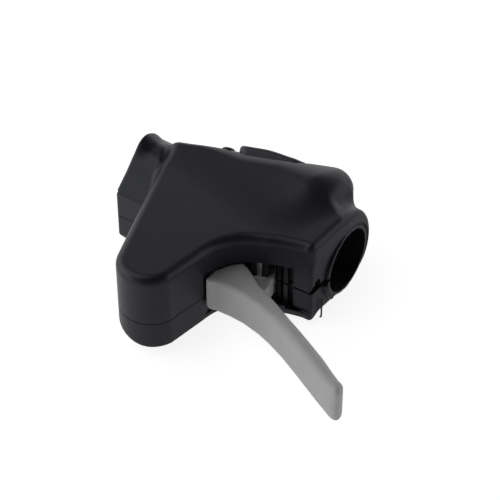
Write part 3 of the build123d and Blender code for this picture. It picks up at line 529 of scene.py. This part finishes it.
def upper_half(x, y, z):
    """The upper half with its screw posts, pivot boss, posts for the board and notch in the end face."""
    shell, outer = housing(x, y, z)
    posts = np.minimum(np.maximum(columns(x, y, SHELL_SCREWS, UPPER_POST_R), z - REAR_POST_TOP),
                       columns(x, y, FRONT_SCREWS, UPPER_POST_R))
    shell = np.minimum(shell, np.maximum(posts, outer + 1.0))
    boss = column(x, y, z, PIVOT, UPPER_BOSS_R, *UPPER_BOSS_SPAN)
    shell = np.minimum(shell, np.maximum(boss, outer + 0.3))
    s, t, out = on_deck(x, y, z)
    from_screw = np.minimum.reduce([np.hypot(s - a, t - b) for a, b in BOARD_SCREWS])
    post = np.maximum(from_screw - BOARD_POST[1], BOARD_POST[0] - from_screw)
    post = np.maximum(post, np.maximum(BOARD_POST_SPAN[0] - out, out - BOARD_POST_SPAN[1]))
    shell = np.minimum(shell, post)
    shell = np.maximum(shell, -np.maximum(columns(x, y, SHELL_SCREWS, INSERT_HOLE[0]), z - INSERT_HOLE[1]))
    shell = np.maximum(shell, -column(x, y, z, PIVOT, PIN_HOLE_R, -1.0, POCKET_ROOF))
    notch = np.minimum(rounded_box(x, y, z, *NOTCH, 1.4), rounded_box(x, y, z, *NOTCH_FOOT, 1.0))
    notch = np.minimum(notch, rounded_box(x, y, z, *NOTCH_GAP, 0.1))
    return np.maximum(np.maximum(shell, -notch), SPLIT_GAP - z)


def lower_half(x, y, z):
    """The lower half with its screw posts, the spring's well, the clip's slit and the wedge recess."""
    shell, outer = housing(x, y, z)
    shell = np.minimum(shell, np.maximum(columns(x, y, SHELL_SCREWS, LOWER_POST_R), outer + 1.0))
    from_pivot = np.hypot(x - PIVOT[0], y - PIVOT[1])
    ring = np.maximum(from_pivot - WELL_R, LOWER_BOSS_R - from_pivot)
    well = np.maximum(ring, np.maximum(WELL_FLOOR - z, z - WELL_TOP))
    shell = np.minimum(shell, column(x, y, z, PIVOT, LOWER_BOSS_R, *LOWER_BOSS_SPAN))
    shell = np.maximum(shell, -well)
    wedge = np.maximum(WEDGE_FOOT - z, z - WEDGE_TOP + WEDGE_FALL * (x - WEDGE_SIDES[0]))
    wedge = np.maximum(wedge, np.maximum(WEDGE_SIDES[0] - x, x - WEDGE_SIDES[1]))
    wedge_back = CLAMP_FACE + WEDGE_DEPTH * np.clip((WEDGE_SIDES[1] - x) / WEDGE_RUN, 0, 1)
    wedge = np.maximum(wedge, y - wedge_back)
    holes = np.minimum.reduce([
        np.maximum(columns(x, y, SHELL_SCREWS, SCREW_HEAD_HOLE[0]), z - SCREW_HEAD_HOLE[1]),
        columns(x, y, SHELL_SCREWS, SCREW_HOLE_R),
        np.maximum(columns(x, y, CLAMP_SCREWS, CLAMP_HEAD_HOLE[0]), z - CLAMP_HEAD_HOLE[1]),
        column(x, y, z, PIVOT, PIN_HOLE_R, PIN_HOLE_FOOT, 1.0),
        rounded_box(x, y, z, *CLIP_SLIT, 0.05),
        wedge,
    ])
    gap = SPLIT_GAP + 0.55 * ramp(x, -22, -14) * ramp(-y, 15, 18)
    return np.maximum(round_cut(shell, -holes, 0.15), z + gap)


HOUSING_STEP = 0.6
# the corners, as seen from above, of the box that holds the housing
NEAR, FAR = (INBOARD_END - 2, -78), (2.0, 31)
vertices, faces = contour(upper_half, (*NEAR, -1.2), (*FAR, 35), HOUSING_STEP)
upper = mesh_piece("housing_upper", vertices, faces)
vertices, faces = contour(lower_half, (*NEAR, -19.0), (*FAR, 1.2), HOUSING_STEP)
lower = mesh_piece("housing_lower", vertices, faces)

# ---------------------------------------------------------------- lever
LEVER_LOW, LEVER_HIGH = -7.0, 10.0
SLAB_TOP = 3.0
CHANNEL_LOW, CHANNEL_HIGH = -4.5, 7.5
HUB_BORE = (4.22, -8.0)              # radius and foot
PEG_SPOT, PEG_R, PEG_SPAN = (-27.5, -33.5), 1.2, (-9.4, -6.0)
MAGNET_SPOT, MAGNET_SEAT_R, MAGNET_SEAT_SPAN = (-33.0, -42.5), 2.52, (-8.0, -2.0)
ROOT_END = -36.6
LEVER_STEP = 0.55
blade_plan = Outline(
    [(-37.2, -48.8), (-33.0, -47.7), (-26.5, -47.5), (-19.8, -47.9), (-11.6, -49.7), (-4.9, -52.0),
     (2.5, -55.2), (10.2, -59.1), (18.0, -63.3), (25.8, -67.5), (31.8, -70.6)]
    + bend((34.8, -72.1), (38.9, -73.6), (38.5, -69.6)) + bend((38.2, -68.6), (37.6, -66.4), (35.2, -65.9))
    + [(30.9, -63.4), (23.9, -59.1), (16.5, -55.2), (9.3, -51.5), (-1.5, -46.4), (-8.0, -43.4)]
    + [(-13.1, -41.5), (-17.7, -39.4), (-24.3, -34.9), (-29.3, -32.3), (-33.2, -35.6), (-37.1, -42.5)]
)
slab_plan = Outline(
    arc(PIVOT, 6.4, 150, 24, 20) + arc((-20.9, -33.0), 3.6, 40, 0, 6) + arc((-19.7, -39.5), 2.7, 0, -60, 6)
    + [(-20.0, -43.0), (-30.9, -43.0), (-31.0, -30.0)]
)
channel_plan = Outline([(-2, -50.4), (8, -55.2), (31.5, -66.9), (31.5, -56), (-2, -36)])


def lever_form(x, y, z):
    """The blade with its channel, the slab under it, the spring's peg, the hub and the magnet's seat."""
    crown = 1.5 + 1.5 * ramp(x, -16, 6)
    blade = round_cut(round_cut(blade_plan(x, y), z - LEVER_HIGH, crown), LEVER_LOW - z, 1.2)
    blade = np.maximum(blade, round_cut(ROOT_END - x, LEVER_LOW - z, 3.4))
    channel = np.maximum(channel_plan(x, y), np.maximum(CHANNEL_LOW - z, z - CHANNEL_HIGH))
    blade = round_cut(blade, -channel, 0.3)
    slab = round_cut(slab_plan(x, y), np.maximum(z - SLAB_TOP, LEVER_LOW - z), 0.7)
    peg = column(x, y, z, PEG_SPOT, PEG_R, *PEG_SPAN)
    from_pivot = np.hypot(x - PIVOT[0], y - PIVOT[1])
    hub = np.maximum(from_pivot - HUB_BORE[0], HUB_BORE[1] - z)
    magnet = column(x, y, z, MAGNET_SPOT, MAGNET_SEAT_R, *MAGNET_SEAT_SPAN)
    return np.maximum(np.minimum.reduce([blade, slab, peg]), -np.minimum(hub, magnet))


vertices, faces = contour(lever_form, (-38.5, -75.5, -10.5), (40.5, -19.0, 11.5), LEVER_STEP)
lever = mesh_piece("lever_blade", vertices, faces)


# ---------------------------------------------------------------- buttons on the rear deck
ROCKER_HALF, ROCKER_R, ROCKER_SKIRT = 15.0, 5.0, -2.3
ROCKER_TOP, ROCKER_CROWN = 4.05, 0.030
FOOT_AT, FOOT_R, FOOT_SPAN = 8, 1.0, (-3.2, -1.0)
AXLE_GROOVE_R, AXLE_DROP = 0.83, 1.3
ROCKER_STEP = 0.3

MODE_R, MODE_TOP, MODE_CROWN = 2.95, 2.0, 0.07
MODE_FLANGE_R, MODE_FLANGE_SPAN = 3.5, (-3.2, -2.6)
MODE_STEP = 0.25


def rocker_form(x, y, z):
    """The rocker, highest at its inboard end, with two feet and the groove for its axle."""
    s, t, out = on_deck(x, y, z)
    height = ROCKER_TOP - 1.9 * ramp(s, -4, 13) - 0.8 * ramp(s, 9, 15) - ROCKER_CROWN * t * t
    button = round_cut(long_slot(s, t, ROCKER_HALF, ROCKER_R), out - height, 1.5)
    button = np.maximum(button, ROCKER_SKIRT - out)
    feet = np.hypot(abs(s) - FOOT_AT, t) - FOOT_R
    feet = np.maximum(feet, np.maximum(FOOT_SPAN[0] - out, out - FOOT_SPAN[1]))
    return np.maximum(np.minimum(button, feet), AXLE_GROOVE_R - np.hypot(s, out + AXLE_DROP))


def mode_form(x, y, z):
    """The round button: a low dome on a stem, with a flange that keeps it in."""
    s, t, out = on_deck(x, y, z)
    r = np.hypot(s - MODE_SPOT[0], t - MODE_SPOT[1])
    stem = round_cut(r - MODE_R, out - MODE_TOP + MODE_CROWN * r * r, 1.0)
    stem = np.maximum(stem, MODE_FLANGE_SPAN[1] - out)
    flange = np.maximum(MODE_FLANGE_SPAN[0] - out, out - MODE_FLANGE_SPAN[1])
    return np.minimum(stem, np.maximum(r - MODE_FLANGE_R, flange))


vertices, faces = contour(rocker_form, rocker_low - 1.5, rocker_high + 1.5, ROCKER_STEP)
rocker = mesh_piece("rocker_cap", vertices, faces)
vertices, faces = contour(mode_form, mode_low - 1.2, mode_high + 1.2, MODE_STEP)
mode = mesh_piece("mode_cap", vertices, faces)


# ---------------------------------------------------------------- return spring
def tube(points, radius, sides=10):
    """A round wire along the points."""
    p = np.array(points, float)
    way = np.gradient(p, axis=0)
    way /= np.linalg.norm(way, axis=1, keepdims=True)
    side = np.cross(way[0], (0.3, 0.1, 1.0))
    rings = []
    for i in range(len(p)):
        side = side - way[i] * side.dot(way[i])
        side /= np.linalg.norm(side)
        other = np.cross(way[i], side)
        turn = np.linspace(0, 2 * np.pi, sides, endpoint=False)
        rings.append(p[i] + radius * (np.outer(np.cos(turn), side) + np.outer(np.sin(turn), other)))
    vertices = np.vstack(rings + [p[:1], p[-1:]])
    last = len(p) * sides
    faces = []
    for i in range(len(p) - 1):
        for k in range(sides):
            a, b = i * sides + k, i * sides + (k + 1) % sides
            faces.append((a, b, b + sides, a + sides))
    for k in range(sides):
        faces.append(((k + 1) % sides, k, last))
        faces.append((last - sides + k, last - sides + (k + 1) % sides, last + 1))
    return vertices, faces


COIL_R, WIRE_R, COIL_TURNS = 4.95, 0.55, 3.05
COIL_FOOT, COIL_RISE = -13.1, 4.1
turns = np.linspace(0, 2 * np.pi * COIL_TURNS, 150)
coil = np.stack([PIVOT[0] + COIL_R * np.cos(turns), PIVOT[1] + COIL_R * np.sin(turns),
                 COIL_FOOT + COIL_RISE * turns / turns[-1]], 1)
fixed_leg = np.array([(*PIVOT, 0)] * 2) + ((COIL_R, -0.9, -14.2), (COIL_R, -0.6, -13.5))
lever_leg = coil[-1] + np.outer((3, 6, 9), coil[-1] - coil[-2])
vertices, faces = tube(np.vstack([fixed_leg, coil, lever_leg]), WIRE_R)
spring = mesh_piece("torsion_spring", vertices, faces, 60)

REPLACEMENTS = (
    (upper, "upper_shell", "housing_plastic", "housing_body"),
    (lower, "lower_shell", "housing_plastic", "housing_body"),
    (lever, "lever", "lever_plastic", "lever_body"),
    (rocker, "rocker_button", "button_plastic", "rocker_body"),
    (mode, "mode_button", "button_plastic", "mode_body"),
    (spring, "return_spring", "spring_steel", None),
)
for piece, node, slot, body in REPLACEMENTS:
    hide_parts(node)
    if body:
        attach(piece, body)
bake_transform(spring)


# ---------------------------------------------------------------- materials
SPREAD = 0.06            # unevenness of the roughness
CLOUD_SHARE = 12         # the tones vary this much more slowly than the grain
COOL = (0.86, 0.88, 1.0, 1)


def noise(nodes, links, place, scale, detail):
    """A noise over the object's own coordinates."""
    cloud = nodes.new("ShaderNodeTexNoise")
    cloud.inputs["Scale"].default_value = scale
    cloud.inputs["Detail"].default_value = detail
    links.new(place, cloud.inputs["Vector"])
    return cloud.outputs["Fac"]


def finish(name, dark, light, roughness, metallic=0.0, grain=900.0, bump=0.0, streak=None, tint=None):
    """A procedural finish: two tones mixed by noise, uneven roughness and a fine surface grain."""
    material = bpy.data.materials.new(name)
    material.use_nodes = True
    nodes, links = material.node_tree.nodes, material.node_tree.links
    shader = nodes["Principled BSDF"]
    shader.inputs["Metallic"].default_value = metallic
    if tint:
        shader.inputs["Specular Tint"].default_value = tint

    stretch = nodes.new("ShaderNodeMapping")
    links.new(nodes.new("ShaderNodeTexCoord").outputs["Object"], stretch.inputs["Vector"])
    if streak:
        stretch.inputs["Scale"].default_value = streak
    place = stretch.outputs["Vector"]

    tone = nodes.new("ShaderNodeValToRGB")
    for element, position, colour in zip(tone.color_ramp.elements, (0.35, 0.65), (dark, light)):
        element.position = position
        element.color = (*colour, 1)
    links.new(noise(nodes, links, place, grain / CLOUD_SHARE, 4), tone.inputs["Fac"])
    links.new(tone.outputs["Color"], shader.inputs["Base Color"])

    fine = noise(nodes, links, place, grain, 3)
    rough = nodes.new("ShaderNodeMapRange")
    rough.inputs["To Min"].default_value = roughness - SPREAD
    rough.inputs["To Max"].default_value = roughness + SPREAD
    links.new(fine, rough.inputs["Value"])
    links.new(rough.outputs["Result"], shader.inputs["Roughness"])
    if bump:
        relief = nodes.new("ShaderNodeBump")
        relief.inputs["Strength"].default_value = bump
        relief.inputs["Distance"].default_value = 0.0001
        links.new(fine, relief.inputs["Height"])
        links.new(relief.outputs["Normal"], shader.inputs["Normal"])
    return material


# slot: darker tone, lighter tone, roughness and what differs from a plain plastic
FINISHES = {
    "housing_plastic": ((0.0086, 0.0090, 0.0118), (0.0108, 0.0112, 0.0144), 0.36,
                        dict(grain=2600, bump=0.25, tint=COOL)),
    "button_plastic": ((0.0095, 0.0098, 0.011), (0.013, 0.0134, 0.015), 0.32,
                       dict(grain=2400, bump=0.12, tint=COOL)),
    "lever_plastic": ((0.455, 0.454, 0.462), (0.485, 0.484, 0.492), 0.42, dict(grain=1500, bump=0.04)),
    "bushing_plastic": ((0.62, 0.60, 0.54), (0.70, 0.68, 0.61), 0.40, dict(grain=1500, bump=0.05)),
    "inner_plastic": ((0.022, 0.022, 0.024), (0.036, 0.036, 0.038), 0.50, dict(grain=1200, bump=0.2)),
    "chip_plastic": ((0.016, 0.016, 0.016), (0.028, 0.028, 0.028), 0.40, dict(grain=1500, bump=0.1)),
    "circuit_board": ((0.010, 0.10, 0.035), (0.018, 0.15, 0.055), 0.30, dict(grain=700, bump=0.1)),
    "rubber": ((0.014, 0.014, 0.014), (0.024, 0.024, 0.023), 0.75, dict(grain=1600, bump=0.2)),
    "seal_rubber": ((0.42, 0.08, 0.035), (0.52, 0.11, 0.05), 0.60, dict(grain=1500, bump=0.1)),
    "lead_rubber": ((0.014, 0.014, 0.015), (0.026, 0.026, 0.028), 0.60, dict(grain=1400, bump=0.15)),
    "stainless": ((0.52, 0.52, 0.53), (0.64, 0.64, 0.65), 0.28,
                  dict(metallic=1.0, grain=1200, bump=0.05, streak=(1, 1, 12))),
    "spring_steel": ((0.030, 0.030, 0.032), (0.055, 0.055, 0.058), 0.36,
                     dict(metallic=0.6, grain=1400, bump=0.05)),
    "magnet": ((0.52, 0.50, 0.46), (0.62, 0.60, 0.56), 0.24, dict(metallic=1.0, grain=1500)),
    "clamp_aluminium": ((0.58, 0.58, 0.60), (0.70, 0.70, 0.72), 0.42,
                        dict(metallic=1.0, grain=2200, bump=0.3)),
    "brass": ((0.62, 0.44, 0.17), (0.76, 0.56, 0.25), 0.30, dict(metallic=1.0, grain=1300, bump=0.08)),
}
finishes = {name: finish(name, dark, light, roughness, **rest)
            for name, (dark, light, roughness, rest) in FINISHES.items()}
for piece, node, slot, body in REPLACEMENTS:
    piece.data.materials.append(finishes[slot])
for part in frame["record"]["subparts"]:
    node = frame["nodes"][part["node"]]
    node.data.materials.clear()
    node.data.materials.append(finishes[part["material_slot"]])

# ---------------------------------------------------------------- stage
FLOOR_HALF, FLOOR_Z = 4, -0.0176     # in metres


def fade(nodes, links, value, start, end, low, high, way="LINEAR"):
    """Goes from low to high as the value goes from start to end."""
    node = nodes.new("ShaderNodeMapRange")
    node.interpolation_type = way
    links.new(value, node.inputs["Value"])
    for key, amount in (("From Min", start), ("From Max", end), ("To Min", low), ("To Max", high)):
        if isinstance(amount, float):
            node.inputs[key].default_value = amount
        else:
            links.new(amount, node.inputs[key])
    return node.outputs["Result"]


def white_table():
    """A table that gives light: even white for the camera, brighter on its left where it is mirrored."""
    material = bpy.data.materials.new("floor_white")
    material.use_nodes = True
    nodes, links = material.node_tree.nodes, material.node_tree.links
    shader = nodes["Principled BSDF"]
    shader.inputs["Base Color"].default_value = (0.45, 0.45, 0.45, 1)
    shader.inputs["Roughness"].default_value = 0.9
    shader.inputs["Emission Color"].default_value = (1, 1, 1, 1)
    ray = nodes.new("ShaderNodeLightPath").outputs
    along = nodes.new("ShaderNodeSeparateXYZ")
    links.new(nodes.new("ShaderNodeTexCoord").outputs["Object"], along.inputs["Vector"])
    mirrored = fade(nodes, links, along.outputs["X"], -0.11, 0.02, 0.50, 0.16)
    given = fade(nodes, links, ray["Is Diffuse Ray"], 0.0, 1.0, mirrored, 0.60)
    seen = fade(nodes, links, ray["Is Camera Ray"], 0.0, 1.0, given, 0.86)
    links.new(seen, shader.inputs["Emission Strength"])
    return material


corners = [(u * FLOOR_HALF, v * FLOOR_HALF, FLOOR_Z) for u, v in ((-1, -1), (1, -1), (1, 1), (-1, 1))]
floor_mesh = bpy.data.meshes.new("floor")
floor_mesh.from_pydata(corners, [], [(0, 1, 2, 3)])
floor_mesh.materials.append(white_table())
floor = bpy.data.objects.new("floor", floor_mesh)
bpy.context.scene.collection.objects.link(floor)

# camera, at the photo's viewing angle
LENS, SENSOR_WIDTH = 141.5, 36
TARGET = Vector((-34.88, -18.98, 2.93)) * MM
DISTANCE = 0.8           # in metres
AZIMUTH, ELEVATION = math.radians(32.593), math.radians(43.673)
back = Vector((math.sin(AZIMUTH) * math.cos(ELEVATION), -math.cos(AZIMUTH) * math.cos(ELEVATION),
               math.sin(ELEVATION)))
camera_data = bpy.data.cameras.new("camera")
camera_data.lens = LENS
camera_data.sensor_width = SENSOR_WIDTH
camera = bpy.data.objects.new("camera", camera_data)
bpy.context.scene.collection.objects.link(camera)
camera.location = TARGET + back * DISTANCE
camera.rotation_euler = (-back).to_track_quat("-Z", "Y").to_euler()
bpy.context.scene.camera = camera

# soft tent: white at the sides, dim overhead and towards the camera, with two soft panels
world = bpy.data.worlds.new("studio")
world.use_nodes = True
bpy.context.scene.world = world
nodes, links = world.node_tree.nodes, world.node_tree.links
sky = nodes.new("ShaderNodeTexCoord").outputs["Generated"]


def glow(way, start, end, low, high):
    """Brightness that goes from low to high as the direction's share along way goes from start to end."""
    facing = nodes.new("ShaderNodeVectorMath")
    facing.operation = "DOT_PRODUCT"
    facing.inputs[1].default_value = Vector(way).normalized()
    links.new(sky, facing.inputs[0])
    return fade(nodes, links, facing.outputs["Value"], start, end, low, high, "SMOOTHSTEP")


def combine(operation, first, second):
    """Two brightnesses, added or multiplied."""
    node = nodes.new("ShaderNodeMath")
    node.operation = operation
    links.new(first, node.inputs[0])
    links.new(second, node.inputs[1])
    return node.outputs[0]


dome = combine("MULTIPLY", glow((0, 0, 1), 0.48, 0.75, 0.90, 0.10), glow(back, 0.35, 0.72, 1.0, 0.12))
overhead_panel = glow((-0.42, -0.24, 0.86), 0.82, 1.0, 0.0, 1.0)
left_panel = glow((-0.80, -0.60, 0.10), 0.6, 1.0, 0.0, 0.6)
strength = combine("ADD", dome, combine("ADD", overhead_panel, left_panel))
nodes["Background"].inputs["Color"].default_value = (0.99, 0.99, 1.0, 1)
links.new(strength, nodes["Background"].inputs["Strength"])
bpy.context.scene.view_settings.view_transform = "Standard"
